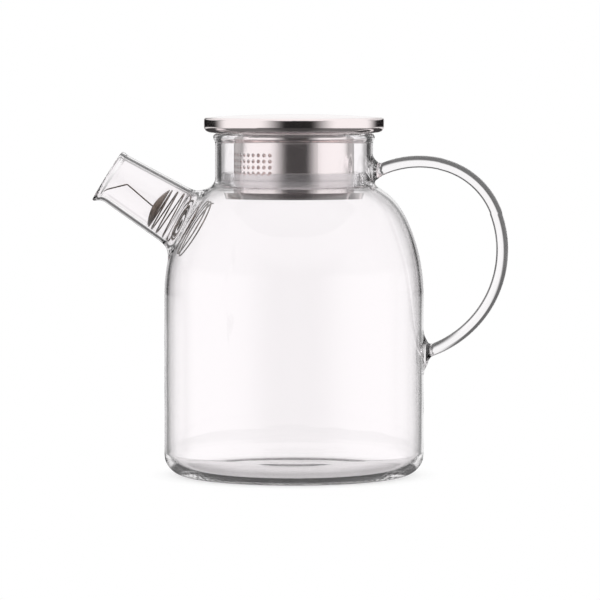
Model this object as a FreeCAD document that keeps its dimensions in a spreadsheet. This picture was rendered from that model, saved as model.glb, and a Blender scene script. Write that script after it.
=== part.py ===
"""Glass teapot with a steel lid, a perforated filter sleeve and a wound-wire strainer in the spout.

Millimetres and degrees. The origin is the centre of the flat base, +Z is up, the spout points to -X
and the handle to +X. The lid parts are drawn in a frame of their own that starts at the underside of the
lid's rim, and the spout and its strainer in one whose Z axis is the axis of the spout.
"""

import FreeCAD
import Part
import Sketcher
import math
import os
from FreeCAD import Placement, Rotation, Vector

# Driving dimensions: one cell of the sheet each, with the name as its alias.
SIZES = {
    # glass body
    "body_radius": 65.0,
    "glass_wall": 2.0,
    "base_corner": 10.8,
    "base_thickness": 3.0,
    "floor_ring_radius": 18.5,
    "floor_rise": 1.2,
    "shoulder_start": 90.0,
    "shoulder_low_radius": 90.0,
    "shoulder_low_rise": 38.0,
    "shoulder_high_rise": 17.4,
    "neck_radius": 39.5,
    "neck_wall": 3.0,
    "neck_height": 25.4,
    "neck_fillet": 2.5,
    "lip_overhang": 0.9,
    # glass spout: its axis crosses the side of the body's widest circle at spout_rise above the shoulder's start
    "spout_rise": 43.5,
    "spout_tilt": 31.8,
    "spout_length": 32.7,
    "spout_root_depth": 18.0,
    "spout_root_radius": 15.9,
    "spout_mouth_radius": 12.7,
    "spout_wall": 2.0,
    "pour_lip_length": 7.2,
    "pour_lip_flare": 1.85,
    "pour_lip_drop": 1.35,
    "spout_weld_length": 13.0,
    "spout_weld_flare": 4.6,
    # glass handle
    "rod_radius": 3.0,
    "handle_reach": 39.1,
    "handle_mid_rise": 23.4,
    "handle_top_rise": 7.1,
    "handle_low_drop": 29.9,
    "top_weld_radius": 6.2,
    "top_weld_length": 4.0,
    "foot_radius": 8.0,
    "foot_length": 3.6,
    # steel lid
    "lid_overhang": 5.5,
    "lid_seat_gap": 0.3,
    "lid_rim_height": 7.4,
    "lid_dome_rise": 1.7,
    "lid_sheet": 0.8,
    "lid_corner": 3.0,
    "lid_top_corner": 1.2,
    "lid_hem": 3.0,
    "pan_sheet": 0.6,
    "pan_lap": 4.0,
    # filter sleeve and its seal
    "sleeve_sheet": 0.6,
    "sleeve_length": 32.9,
    "sleeve_foot": 2.1,
    "curl_width": 5.0,
    "curl_height": 3.0,
    "curl_taper": 1.0,
    "hole_diameter": 1.9,
    "hole_drop": 10.8,
    "hole_pitch": 3.0,
    "hole_step": 6.12,
    "seal_width": 6.1,
    "seal_height": 7.9,
    "seal_taper_height": 3.2,
    "seal_taper_width": 0.9,
    "seal_gap": 0.3,
    "seal_clearance": 0.1,
    # spout strainer: stations along the axis of the spout
    "wire_radius": 0.36,
    "wire_gap": 0.16,
    "strainer_clearance": 0.3,
    "ring_station": 17.0,
    "ring_overlap": 1.7,
    "ring_pitch": 1.3,
    "hole_turn_station": 14.6,
    "bore_turn_station": 5.2,
    "nose_station": 1.6,
    "nose_radius": 10.2,
    "nose_bend_radius": 6.2,
    "nose_bend_rise": 2.4,
    "nose_tip_radius": 0.9,
    "nose_tip_rise": 1.1,
    "tail_bend_radius": 1.0,
    "tail_kink_station": 22.0,
    "tail_kink_radius": 2.5,
    "tail_end_station": 31.5,
    "tail_end_drop": 9.6,
}

HOLE_ROWS = 4
HOLE_COLUMNS = 23
RING_TURNS = 2
ENTRY_TURNS = 1
LEAD_TURNS = 1
OPEN_TURNS = 3
# Tools that only cut reach this far past the glass.
CUT_MARGIN = 12.0
# How far the ends of the handle's rod, its weld and its foot are sunk before the body trims them.
ROD_SINK_ANGLE = 6.0
WELD_SINK = 2.0
# Points closer than this are the same point.
TOUCH = 1e-3

# Heights and radii that several pieces share, as expressions of the sheet.
NECK_BASE = "(Sizes.shoulder_start + Sizes.shoulder_low_rise + Sizes.shoulder_high_rise)"
RIM = f"({NECK_BASE} + Sizes.neck_height)"
NECK_INNER = "(Sizes.neck_radius - Sizes.neck_wall)"
LIP_ROUND = "((Sizes.neck_wall + Sizes.lip_overhang) / 2)"
LID_SEAT = f"({RIM} + Sizes.lid_seat_gap)"
LID_RADIUS = "(Sizes.neck_radius + Sizes.lid_overhang)"
HEM_OUTER = f"({LID_RADIUS} - Sizes.lid_corner)"
SEAL_OUTER = f"({NECK_INNER} - Sizes.seal_gap)"
SEAL_INNER = f"({SEAL_OUTER} - Sizes.seal_width)"
SLEEVE_RADIUS = f"({SEAL_INNER} - Sizes.seal_clearance)"
SEAL_BOTTOM = "(Sizes.curl_height + Sizes.sleeve_foot - Sizes.sleeve_length)"
SPOUT_HEIGHT = "(Sizes.shoulder_start + Sizes.spout_rise)"
SPOUT_SLOPE = (
    "((Sizes.spout_root_radius - Sizes.spout_mouth_radius)"
    " / (Sizes.spout_length + Sizes.spout_root_depth))"
)

X_AXIS = Vector(1, 0, 0)
Y_AXIS = Vector(0, 1, 0)
Z_AXIS = Vector(0, 0, 1)
ORIGIN = (-1, 1)
START, END, CENTRE = 1, 2, 3
H_AXIS, V_AXIS = -1, -2

doc = FreeCAD.newDocument("glass_teapot")


def make_sheet():
    sheet = doc.addObject("Spreadsheet::Sheet", "Sizes")
    for row, (name, value) in enumerate(SIZES.items(), start=1):
        cell = f"A{row}"
        sheet.set(cell, str(value))
        sheet.setAlias(cell, name)
    doc.recompute()
    return sheet


def spout_radius(station):
    """Expression of the spout's outer radius at a station along its axis."""
    return f"(Sizes.spout_root_radius - ({station} + Sizes.spout_root_depth) * {SPOUT_SLOPE})"


def bore_radius(station):
    return f"({spout_radius(station)} - Sizes.spout_wall)"


# Sketch helpers


def new_body(name):
    return doc.addObject("PartDesign::Body", name)


def origin_part(body, role):
    return next(part for part in body.Origin.OriginFeatures if part.Role == role)


def new_sketch(body, role, name):
    sketch = body.newObject("Sketcher::SketchObject", name)
    sketch.AttachmentSupport = [(origin_part(body, role), "")]
    sketch.MapMode = "FlatFace"
    return sketch


def arc(centre, start, end):
    """Arc of a circle that runs anticlockwise from start to end."""
    radius = math.dist(centre, start)
    first = math.atan2(start[1] - centre[1], start[0] - centre[0])
    last = math.atan2(end[1] - centre[1], end[0] - centre[0])
    return Part.ArcOfCircle(Part.Circle(Vector(*centre, 0), Z_AXIS, radius), first, last)


def line(start, end):
    return Part.LineSegment(Vector(*start, 0), Vector(*end, 0))


def tie(sketch, kind, *places):
    sketch.addConstraint(Sketcher.Constraint(kind, *places))


def bind(sketch, kind, name, expression, *places):
    """Dimension that starts at its drawn value and is then bound to the sheet."""
    if kind == "Radius":
        drawn = sketch.Geometry[places[0]].Radius
    else:
        point = sketch.getPoint(*places[-2:])
        drawn = point.x if kind == "DistanceX" else point.y
    index = sketch.addConstraint(Sketcher.Constraint(kind, *places, drawn))
    sketch.renameConstraint(index, name)
    sketch.setExpression(f"Constraints.{name}", expression)


def across(sketch, name, expression, edge, end):
    bind(sketch, "DistanceX", name, expression, *ORIGIN, edge, end)


def up(sketch, name, expression, edge, end):
    bind(sketch, "DistanceY", name, expression, *ORIGIN, edge, end)


def outline(sketch, corners):
    """Closed outline of straight edges, with each corner given as two expressions: across and up.

    Every corner is tied to the origin by itself, so the circle of points that it is first drawn on is only a start.
    """
    count = len(corners)
    turn = 2 * math.pi / count
    drawn = [(10 + math.cos(turn * i), 10 + math.sin(turn * i)) for i in range(count)]
    for i in range(count):
        sketch.addGeometry(line(drawn[i], drawn[(i + 1) % count]), False)
    for i in range(count):
        tie(sketch, "Coincident", i, END, (i + 1) % count, START)
    for i, (x_expression, y_expression) in enumerate(corners):
        for kind, expression, axis in (("DistanceX", x_expression, V_AXIS), ("DistanceY", y_expression, H_AXIS)):
            if expression == "0":
                tie(sketch, "PointOnObject", i, START, axis)
            else:
                bind(sketch, kind, f"corner_{i}_{kind}", expression, *ORIGIN, i, START)


def revolve(body, sketch, name):
    feature = body.newObject("PartDesign::Revolution", name)
    feature.Profile = sketch
    feature.ReferenceAxis = (sketch, ["V_Axis"])
    feature.Angle = 360
    doc.recompute()
    return feature


def circles(feature):
    """Numbers and curves of a feature's circular edges, without the points that turned edges shrink to."""
    for number, edge in enumerate(feature.Shape.Edges, start=1):
        if not edge.Degenerated and isinstance(edge.Curve, Part.Circle):
            yield number, edge.Curve


def ring_edges(feature, *rings):
    """Names of the circular edges that lie at the given radii and heights."""
    names = []
    for radius, height in rings:
        for number, circle in circles(feature):
            if abs(circle.Radius - radius) < TOUCH and abs(circle.Center.z - height) < TOUCH:
                names.append(f"Edge{number}")
    assert len(names) >= len(rings), f"{feature.Name}: an edge to round is missing"
    return names


def round_edges(body, feature, name, radius, *rings):
    fillet = body.newObject("PartDesign::Fillet", name)
    fillet.Base = (feature, ring_edges(feature, *rings))
    fillet.setExpression("Radius", radius)
    doc.recompute()
    return fillet


# Glass body


def outer_chain(sketch):
    """Outer edge of the glass from the centre of the base to the inside of the lip."""
    size = SIZES
    radius = size["body_radius"]
    corner = size["base_corner"]
    start = size["shoulder_start"]
    low = size["shoulder_low_radius"]
    neck = size["neck_radius"]
    base_end = (radius - corner, 0)
    wall_start = (radius, corner)
    wall_end = (radius, start)
    low_centre = (radius - low, start)
    low_rise = size["shoulder_low_rise"]
    low_end = (low_centre[0] + math.sqrt(low**2 - low_rise**2), start + low_rise)
    neck_start = (neck, low_end[1] + size["shoulder_high_rise"])
    # The upper arc leaves the lower one without a kink and ends at the neck.
    inward = ((low_centre[0] - low_end[0]) / low, -low_rise / low)
    chord = (neck_start[0] - low_end[0], neck_start[1] - low_end[1])
    high = (chord[0] ** 2 + chord[1] ** 2) / (2 * (chord[0] * inward[0] + chord[1] * inward[1]))
    high_centre = (low_end[0] + high * inward[0], low_end[1] + high * inward[1])
    lip = (size["neck_wall"] + size["lip_overhang"]) / 2
    lip_centre = (neck + size["lip_overhang"] - lip, neck_start[1] + size["neck_height"] - lip)
    neck_end = (neck, lip_centre[1] - math.sqrt(lip**2 - (neck - lip_centre[0]) ** 2))
    lip_end = (lip_centre[0] - lip, lip_centre[1])

    base = sketch.addGeometry(line((0, 0), base_end), False)
    corner_arc = sketch.addGeometry(arc((base_end[0], corner), base_end, wall_start), False)
    wall = sketch.addGeometry(line(wall_start, wall_end), False)
    low_arc = sketch.addGeometry(arc(low_centre, wall_end, low_end), False)
    high_arc = sketch.addGeometry(arc(high_centre, low_end, neck_start), False)
    neck_line = sketch.addGeometry(line(neck_start, neck_end), False)
    lip_arc = sketch.addGeometry(arc(lip_centre, neck_end, lip_end), False)

    tie(sketch, "Coincident", base, START, *ORIGIN)
    tie(sketch, "Tangent", base, END, corner_arc, START)
    tie(sketch, "Tangent", corner_arc, END, wall, START)
    tie(sketch, "Tangent", wall, END, low_arc, START)
    tie(sketch, "Tangent", low_arc, END, high_arc, START)
    tie(sketch, "Coincident", high_arc, END, neck_line, START)
    tie(sketch, "Coincident", neck_line, END, lip_arc, START)
    tie(sketch, "Horizontal", base)
    tie(sketch, "Vertical", wall)
    tie(sketch, "Vertical", neck_line)
    tie(sketch, "Horizontal", lip_arc, END, lip_arc, CENTRE)
    across(sketch, "body_radius", "Sizes.body_radius", wall, START)
    bind(sketch, "Radius", "base_corner", "Sizes.base_corner", corner_arc)
    up(sketch, "shoulder_start", "Sizes.shoulder_start", wall, END)
    bind(sketch, "Radius", "low_radius", "Sizes.shoulder_low_radius", low_arc)
    up(sketch, "shoulder_bend", "Sizes.shoulder_start + Sizes.shoulder_low_rise", low_arc, END)
    across(sketch, "neck_radius", "Sizes.neck_radius", neck_line, START)
    up(sketch, "neck_base", NECK_BASE, neck_line, START)
    bind(sketch, "Radius", "lip_round", LIP_ROUND, lip_arc)
    across(sketch, "lip_centre", f"{NECK_INNER} + {LIP_ROUND}", lip_arc, CENTRE)
    up(sketch, "lip_height", f"{RIM} - {LIP_ROUND}", lip_arc, CENTRE)
    return low_arc, high_arc, lip_arc


def inner_chain(sketch, low_arc, high_arc, lip_arc):
    """Inner edge of the glass, a wall's thickness inside the outer one, down to the axis."""
    size = SIZES
    wall = size["glass_wall"]
    radius = size["body_radius"] - wall
    corner = size["base_corner"] - wall
    floor = size["base_thickness"]
    neck = size["neck_radius"] - size["neck_wall"]
    low, high, lip = (sketch.Geometry[edge] for edge in (low_arc, high_arc, lip_arc))
    low_centre = (low.Center.x, low.Center.y)
    high_centre = (high.Center.x, high.Center.y)
    inner_low = low.Radius - wall
    inner_high = high.Radius - wall
    bend = sketch.getPoint(low_arc, END)
    bend_share = inner_low / low.Radius
    low_end = (
        low_centre[0] + (bend.x - low_centre[0]) * bend_share,
        low_centre[1] + (bend.y - low_centre[1]) * bend_share,
    )
    neck_end = (neck, high_centre[1] + math.sqrt(inner_high**2 - (neck - high_centre[0]) ** 2))
    wall_start = (radius, floor + corner)
    wall_end = (radius, size["shoulder_start"])
    floor_start = (size["floor_ring_radius"], floor)
    floor_end = (radius - corner, floor)
    dome_top = (0, floor + size["floor_rise"])
    dome_radius = (floor_start[0] ** 2 + size["floor_rise"] ** 2) / (2 * size["floor_rise"])

    neck_line = sketch.addGeometry(line((neck, lip.Center.y), neck_end), False)
    inner_high_arc = sketch.addGeometry(arc(high_centre, low_end, neck_end), False)
    inner_low_arc = sketch.addGeometry(arc(low_centre, wall_end, low_end), False)
    wall_line = sketch.addGeometry(line(wall_start, wall_end), False)
    corner_arc = sketch.addGeometry(arc((floor_end[0], floor + corner), floor_end, wall_start), False)
    floor_line = sketch.addGeometry(line(floor_start, floor_end), False)
    dome = sketch.addGeometry(arc((0, dome_top[1] - dome_radius), floor_start, dome_top), False)
    axis = sketch.addGeometry(line(dome_top, (0, 0)), False)

    tie(sketch, "Coincident", lip_arc, END, neck_line, START)
    tie(sketch, "Vertical", neck_line)
    tie(sketch, "Coincident", inner_high_arc, CENTRE, high_arc, CENTRE)
    tie(sketch, "Coincident", inner_low_arc, CENTRE, low_arc, CENTRE)
    tie(sketch, "Coincident", inner_high_arc, END, neck_line, END)
    tie(sketch, "Tangent", inner_low_arc, END, inner_high_arc, START)
    tie(sketch, "Tangent", wall_line, END, inner_low_arc, START)
    tie(sketch, "Tangent", wall_line, START, corner_arc, END)
    tie(sketch, "Tangent", floor_line, END, corner_arc, START)
    tie(sketch, "Coincident", floor_line, START, dome, START)
    tie(sketch, "Coincident", dome, END, axis, START)
    tie(sketch, "Coincident", axis, END, *ORIGIN)
    tie(sketch, "PointOnObject", dome, CENTRE, V_AXIS)
    tie(sketch, "Vertical", wall_line)
    tie(sketch, "Horizontal", floor_line)
    tie(sketch, "Vertical", axis)
    across(sketch, "inner_radius", "Sizes.body_radius - Sizes.glass_wall", wall_line, START)
    bind(sketch, "Radius", "inner_corner", "Sizes.base_corner - Sizes.glass_wall", corner_arc)
    across(sketch, "floor_ring", "Sizes.floor_ring_radius", floor_line, START)
    up(sketch, "floor_height", "Sizes.base_thickness", floor_line, START)
    up(sketch, "floor_top", "Sizes.base_thickness + Sizes.floor_rise", dome, END)


def neck_ring(sketch, name):
    """Radius and height of the sharp edge where the shoulder meets the neck."""
    return (SIZES["neck_radius"], sketch.getDatum(name).Value)


def make_envelope():
    """The body as if it were solid glass: what the spout and the handle are trimmed to."""
    body = new_body("envelope")
    sketch = new_sketch(body, "XZ_Plane", "envelope_outline")
    lip_arc = outer_chain(sketch)[2]
    lip_end = sketch.getPoint(lip_arc, END)
    top = sketch.addGeometry(line((lip_end.x, lip_end.y), (0, lip_end.y)), False)
    axis = sketch.addGeometry(line((0, lip_end.y), (0, 0)), False)
    tie(sketch, "Coincident", lip_arc, END, top, START)
    tie(sketch, "Coincident", top, END, axis, START)
    tie(sketch, "Coincident", axis, END, *ORIGIN)
    tie(sketch, "Horizontal", top)
    tie(sketch, "Vertical", axis)
    doc.recompute()
    solid = revolve(body, sketch, "envelope_turn")
    round_edges(body, solid, "envelope_neck", "Sizes.neck_fillet", neck_ring(sketch, "neck_base"))
    return body


def make_blown_wall():
    """Wall of the body, turned from its outline, before the hole for the spout is cut."""
    body = new_body("blown_wall")
    sketch = new_sketch(body, "XZ_Plane", "wall_outline")
    arcs = outer_chain(sketch)
    inner_chain(sketch, *arcs)
    doc.recompute()
    solid = revolve(body, sketch, "wall_turn")
    outside = round_edges(body, solid, "neck_outside", "Sizes.neck_fillet", neck_ring(sketch, "neck_base"))
    inner_radius = SIZES["neck_radius"] - SIZES["neck_wall"]
    corners = [
        (circle.Radius, circle.Center.z)
        for _, circle in circles(outside)
        if abs(circle.Radius - inner_radius) < TOUCH
    ]
    lowest = min(corners, key=lambda ring: ring[1])
    round_edges(body, outside, "neck_inside", "Sizes.neck_fillet", lowest)
    return body


# The spout's own frame: Z along its axis and X upwards


def place_on_spout(thing):
    thing.Placement = Placement(Vector(-SIZES["body_radius"], 0, 0), Rotation(-Y_AXIS, 45))
    thing.setExpression("Placement.Base.x", "-Sizes.body_radius")
    thing.setExpression("Placement.Base.z", SPOUT_HEIGHT)
    thing.setExpression("Placement.Rotation.Angle", "(90 - Sizes.spout_tilt) * 1 deg")


def circle_section(body, name, station, radius, drop="0"):
    """Circle across the spout's axis at a station, moved towards the lower side by drop."""
    sketch = new_sketch(body, "XY_Plane", name)
    sketch.setExpression("AttachmentOffset.Base.z", station)
    circle = sketch.addGeometry(Part.Circle(Vector(-1, 0, 0), Z_AXIS, 10), False)
    tie(sketch, "PointOnObject", circle, CENTRE, H_AXIS)
    bind(sketch, "Radius", "radius", radius, circle)
    if drop == "0":
        tie(sketch, "PointOnObject", circle, CENTRE, V_AXIS)
    else:
        across(sketch, "drop", f"-({drop})", circle, CENTRE)
    return sketch


def loft(body, kind, name, sections):
    feature = body.newObject(kind, name)
    feature.Profile = sections[0]
    feature.Sections = sections[1:]
    feature.Ruled = True
    doc.recompute()
    return feature


def spout_sections(body, name, inset):
    """Root, start of the pouring lip and mouth, inset from the outer surface."""
    lip_start = "(Sizes.spout_length - Sizes.pour_lip_length)"
    lip_radius = f"Sizes.spout_mouth_radius + Sizes.pour_lip_flare - {inset}"
    root = circle_section(
        body, f"{name}_root", "-Sizes.spout_root_depth", f"Sizes.spout_root_radius - {inset}"
    )
    neck = circle_section(body, f"{name}_neck", lip_start, f"{spout_radius(lip_start)} - {inset}")
    mouth = circle_section(body, f"{name}_mouth", "Sizes.spout_length", lip_radius, "Sizes.pour_lip_drop")
    return [root, neck, mouth]


def make_spout_tube():
    """Tapered tube with its pouring lip and the flared weld, before the body trims it."""
    body = new_body("spout_tube")
    loft(body, "PartDesign::AdditiveLoft", "tube_outside", spout_sections(body, "outside", "0"))
    weld = [
        circle_section(
            body,
            "weld_root",
            "-Sizes.spout_root_depth",
            "Sizes.spout_root_radius + Sizes.spout_weld_flare",
        ),
        circle_section(
            body,
            "weld_end",
            "Sizes.spout_weld_length - Sizes.spout_root_depth",
            spout_radius("(Sizes.spout_weld_length - Sizes.spout_root_depth)"),
        ),
    ]
    loft(body, "PartDesign::AdditiveLoft", "tube_weld", weld)
    bore = loft(body, "PartDesign::SubtractiveLoft", "tube_bore", spout_sections(body, "bore", "Sizes.spout_wall"))
    mouth = SIZES["spout_mouth_radius"] + SIZES["pour_lip_flare"]
    rings = [(mouth, SIZES["spout_length"]), (mouth - SIZES["spout_wall"], SIZES["spout_length"])]
    round_edges(body, bore, "fire_polish", "0.45 * Sizes.spout_wall", *rings)
    place_on_spout(body)
    return body


def make_hole_tool():
    """Tapered plug that opens the wall of the body to the bore of the spout."""
    body = new_body("hole_tool")
    inside = f"(-Sizes.spout_root_depth - {CUT_MARGIN})"
    sections = [
        circle_section(body, "hole_inside", inside, bore_radius(inside)),
        circle_section(body, "hole_outside", "0", bore_radius("0")),
    ]
    loft(body, "PartDesign::AdditiveLoft", "hole_plug", sections)
    place_on_spout(body)
    return body


# Cutting and joining


def cut(base, tool, name):
    feature = doc.addObject("Part::Cut", name)
    feature.Base = base
    feature.Tool = tool
    return feature


def fuse(parts, name):
    feature = doc.addObject("Part::MultiFuse", name)
    feature.Shapes = parts
    return feature


# Glass handle: two arcs of rod that meet where the loop is widest


def make_handle_arc(name, rise, sign, end_radius):
    """Arc of rod from the widest point of the loop to a joint that is rise above or below it."""
    reach = f"(Sizes.body_radius + Sizes.handle_reach - {end_radius})"
    bend = f"(({reach} * {reach} + {rise} * {rise}) / (2 * {reach}))"
    arc_rod = doc.addObject("Part::Torus", name)
    arc_rod.setExpression("Radius1", bend)
    arc_rod.setExpression("Radius2", "Sizes.rod_radius")
    arc_rod.setExpression("Angle3", f"atan2({rise}; {bend} - {reach}) + {ROD_SINK_ANGLE} deg")
    arc_rod.Placement = Placement(Vector(), Rotation(sign * X_AXIS, 90))
    arc_rod.setExpression("Placement.Base.x", f"Sizes.body_radius + Sizes.handle_reach - {bend}")
    arc_rod.setExpression("Placement.Base.z", "Sizes.shoulder_start + Sizes.handle_mid_rise")
    return arc_rod


def make_joint_cone(name, surface, height, radius, length):
    """Cone that spreads the end of the rod on the glass it is welded to."""
    cone = doc.addObject("Part::Cone", name)
    cone.setExpression("Radius1", radius)
    cone.setExpression("Radius2", "Sizes.rod_radius")
    cone.setExpression("Height", f"{length} + {WELD_SINK}")
    cone.Placement = Placement(Vector(), Rotation(Y_AXIS, 90))
    cone.setExpression("Placement.Base.x", f"{surface} - {WELD_SINK}")
    cone.setExpression("Placement.Base.z", height)
    return cone


def make_handle(envelope):
    top = f"({NECK_BASE} + Sizes.handle_top_rise)"
    low = "(Sizes.shoulder_start - Sizes.handle_low_drop)"
    middle = "(Sizes.shoulder_start + Sizes.handle_mid_rise)"
    pieces = [
        make_handle_arc("upper_arc", f"({top} - {middle})", 1, "Sizes.neck_radius"),
        make_handle_arc("lower_arc", f"({middle} - {low})", -1, "Sizes.body_radius"),
        make_joint_cone("top_weld", "Sizes.neck_radius", top, "Sizes.top_weld_radius", "Sizes.top_weld_length"),
        make_joint_cone("foot", "Sizes.body_radius", low, "Sizes.foot_radius", "Sizes.foot_length"),
    ]
    return cut(fuse(pieces, "handle_rod"), envelope, "glass_handle")


# Lid: drawn from the underside of its rim


def place_on_rim(body):
    body.setExpression("Placement.Base.z", LID_SEAT)


def make_lid_cap():
    """Stamped top: a shallow dome whose edge turns down and is hemmed inwards."""
    size = SIZES
    radius = size["neck_radius"] + size["lid_overhang"]
    sheet = size["lid_sheet"]
    height = size["lid_rim_height"]
    hem = radius - size["lid_corner"] - size["lid_hem"]

    def dome(edge, top):
        rise = top[1] - edge[1]
        bend = (edge[0] ** 2 + rise**2) / (2 * rise)
        return arc((0, top[1] - bend), edge, top)

    body = new_body("lid_cap")
    sketch = new_sketch(body, "XZ_Plane", "cap_outline")
    outer_top = (0, height + size["lid_dome_rise"])
    inner_top = (0, outer_top[1] - sheet)
    inner_edge = (radius - sheet, height - sheet)
    corners = [(radius, height), (radius, 0), (hem, 0), (hem, sheet), (radius - sheet, sheet), inner_edge]
    outside = sketch.addGeometry(dome(corners[0], outer_top), False)
    first = outside + 1
    for start, end in zip(corners, corners[1:]):
        sketch.addGeometry(line(start, end), False)
    last = first + len(corners) - 2
    inside = sketch.addGeometry(dome(inner_edge, inner_top), False)
    axis = sketch.addGeometry(line(inner_top, outer_top), False)
    side, under, hem_edge, hem_top, inner_side = range(first, last + 1)
    tie(sketch, "Coincident", outside, START, side, START)
    for edge in range(first, last):
        tie(sketch, "Coincident", edge, END, edge + 1, START)
    tie(sketch, "Coincident", last, END, inside, START)
    tie(sketch, "Coincident", inside, END, axis, START)
    tie(sketch, "Coincident", axis, END, outside, END)
    for upright in (side, hem_edge, inner_side, axis):
        tie(sketch, "Vertical", upright)
    tie(sketch, "Horizontal", hem_top)
    tie(sketch, "PointOnObject", under, START, H_AXIS)
    tie(sketch, "PointOnObject", under, END, H_AXIS)
    tie(sketch, "PointOnObject", outside, CENTRE, V_AXIS)
    tie(sketch, "PointOnObject", inside, CENTRE, V_AXIS)
    tie(sketch, "PointOnObject", axis, END, V_AXIS)
    across(sketch, "radius", LID_RADIUS, side, START)
    up(sketch, "rim_height", "Sizes.lid_rim_height", side, START)
    up(sketch, "dome_top", "Sizes.lid_rim_height + Sizes.lid_dome_rise", outside, END)
    across(sketch, "hem", f"{HEM_OUTER} - Sizes.lid_hem", hem_edge, START)
    up(sketch, "hem_sheet", "Sizes.lid_sheet", hem_top, START)
    across(sketch, "inner_radius", f"{LID_RADIUS} - Sizes.lid_sheet", inner_side, START)
    up(sketch, "inner_rim", "Sizes.lid_rim_height - Sizes.lid_sheet", inner_side, END)
    up(sketch, "inner_top", "Sizes.lid_rim_height + Sizes.lid_dome_rise - Sizes.lid_sheet", inside, END)
    doc.recompute()
    solid = revolve(body, sketch, "cap_turn")
    under_edge = round_edges(body, solid, "cap_under_edge", "Sizes.lid_corner", (radius, 0))
    inner_edge = round_edges(
        body, under_edge, "cap_inner_edge", "Sizes.lid_corner - Sizes.lid_sheet", (radius - sheet, sheet)
    )
    round_edges(body, inner_edge, "cap_top_edge", "Sizes.lid_top_corner", (radius, height))
    place_on_rim(body)
    return body


def make_lid_pan():
    """Flat ring that lies on the hem inside the cap and carries the sleeve."""
    body = new_body("lid_pan")
    sketch = new_sketch(body, "XZ_Plane", "pan_outline")
    hole = f"{SLEEVE_RADIUS} - Sizes.pan_lap"
    top = "Sizes.lid_sheet + Sizes.pan_sheet"
    outline(sketch, [(hole, "Sizes.lid_sheet"), (HEM_OUTER, "Sizes.lid_sheet"), (HEM_OUTER, top), (hole, top)])
    doc.recompute()
    revolve(body, sketch, "pan_turn")
    place_on_rim(body)
    return body


def make_filter_sleeve():
    """Thin sleeve under the pan, turned out and up at its foot, with rows of holes on the spout side."""
    body = new_body("filter_sleeve")
    sketch = new_sketch(body, "XZ_Plane", "sleeve_outline")
    inside = f"{SLEEVE_RADIUS} - Sizes.sleeve_sheet"
    # The rim of the foot leans in downwards, so that it finds its way into the neck.
    rim = f"{SLEEVE_RADIUS} + Sizes.curl_width"
    rim_top = "Sizes.curl_height - Sizes.sleeve_length"
    foot = f"{rim} - Sizes.curl_taper"
    foot_top = "Sizes.sleeve_sheet - Sizes.sleeve_length"
    corners = [
        (inside, "-Sizes.sleeve_length"),
        (foot, "-Sizes.sleeve_length"),
        (rim, rim_top),
        (f"{rim} - Sizes.sleeve_sheet", rim_top),
        (f"{foot} - Sizes.sleeve_sheet", foot_top),
        (SLEEVE_RADIUS, foot_top),
        (SLEEVE_RADIUS, "Sizes.lid_sheet"),
        (inside, "Sizes.lid_sheet"),
    ]
    outline(sketch, corners)
    doc.recompute()
    tube = revolve(body, sketch, "sleeve_turn")

    holes = new_sketch(body, "YZ_Plane", "hole_column")
    for row in range(HOLE_ROWS):
        hole = holes.addGeometry(Part.Circle(Vector(0, -SIZES["hole_drop"] - row, 0), Z_AXIS, 1), False)
        tie(holes, "PointOnObject", hole, CENTRE, V_AXIS)
        bind(holes, "Radius", f"radius_{row}", "Sizes.hole_diameter / 2", hole)
        up(holes, f"row_{row}", f"-(Sizes.hole_drop + {row} * Sizes.hole_pitch)", hole, CENTRE)
    column = body.newObject("PartDesign::Pocket", "column_of_holes")
    column.Profile = holes
    column.Type = "ThroughAll"
    doc.recompute()
    assert column.Shape.Volume < tube.Shape.Volume, "the holes miss the sleeve"
    pattern = body.newObject("PartDesign::PolarPattern", "field_of_holes")
    pattern.Originals = [column]
    pattern.Axis = (origin_part(body, "Z_Axis"), [""])
    pattern.setExpression("Angle", f"Sizes.hole_step * {HOLE_COLUMNS - 1}")
    pattern.Occurrences = HOLE_COLUMNS
    body.Tip = pattern
    doc.recompute()
    # The first column looks at the spout, so half the field is turned back to centre it there.
    body.Placement = Placement(Vector(), Rotation(-Z_AXIS, 45))
    body.setExpression("Placement.Rotation.Angle", f"Sizes.hole_step * {(HOLE_COLUMNS - 1) / 2} * 1 deg")
    place_on_rim(body)
    return body


def make_silicone_seal():
    """Soft ring stretched over the sleeve above its foot, tapered below so that it enters the neck."""
    body = new_body("silicone_seal")
    sketch = new_sketch(body, "XZ_Plane", "seal_outline")
    top = f"{SEAL_BOTTOM} + Sizes.seal_height"
    corners = [
        (SEAL_INNER, SEAL_BOTTOM),
        (f"{SEAL_OUTER} - Sizes.seal_taper_width", SEAL_BOTTOM),
        (SEAL_OUTER, f"{SEAL_BOTTOM} + Sizes.seal_taper_height"),
        (SEAL_OUTER, top),
        (SEAL_INNER, top),
    ]
    outline(sketch, corners)
    doc.recompute()
    revolve(body, sketch, "seal_turn")
    place_on_rim(body)
    return body


# Spout strainer: one wire, bent from its wide end turns to the tip of its tail


def half_turns(stages):
    """Radius and station of the coil at every half turn.

    Each stage gives its station, its radius and the number of half turns that lead to the next stage.
    """
    knots = []
    for (start, start_radius, count), (end, end_radius, _) in zip(stages, stages[1:]):
        for step in range(count):
            share = step / count
            radius = start_radius + (end_radius - start_radius) * share
            knots.append((radius, start + (end - start) * share))
    knots.append((stages[-1][1], stages[-1][0]))
    return knots


def coil_path(knots):
    """Half circles that rise from knot to knot. They all cross the XZ plane squarely, so they meet without a kink."""
    edges = []
    side = 1
    for (radius, station), (next_radius, next_station) in zip(knots, knots[1:]):
        start = Vector(side * radius, 0, station)
        end = Vector(-side * next_radius, 0, next_station)
        crown = (start + end) / 2 + Y_AXIS * (side * (end - start).Length / 2)
        edges.append(Part.Arc(start, crown, end).toShape())
        side = -side
    return edges, end, Y_AXIS * side


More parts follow.
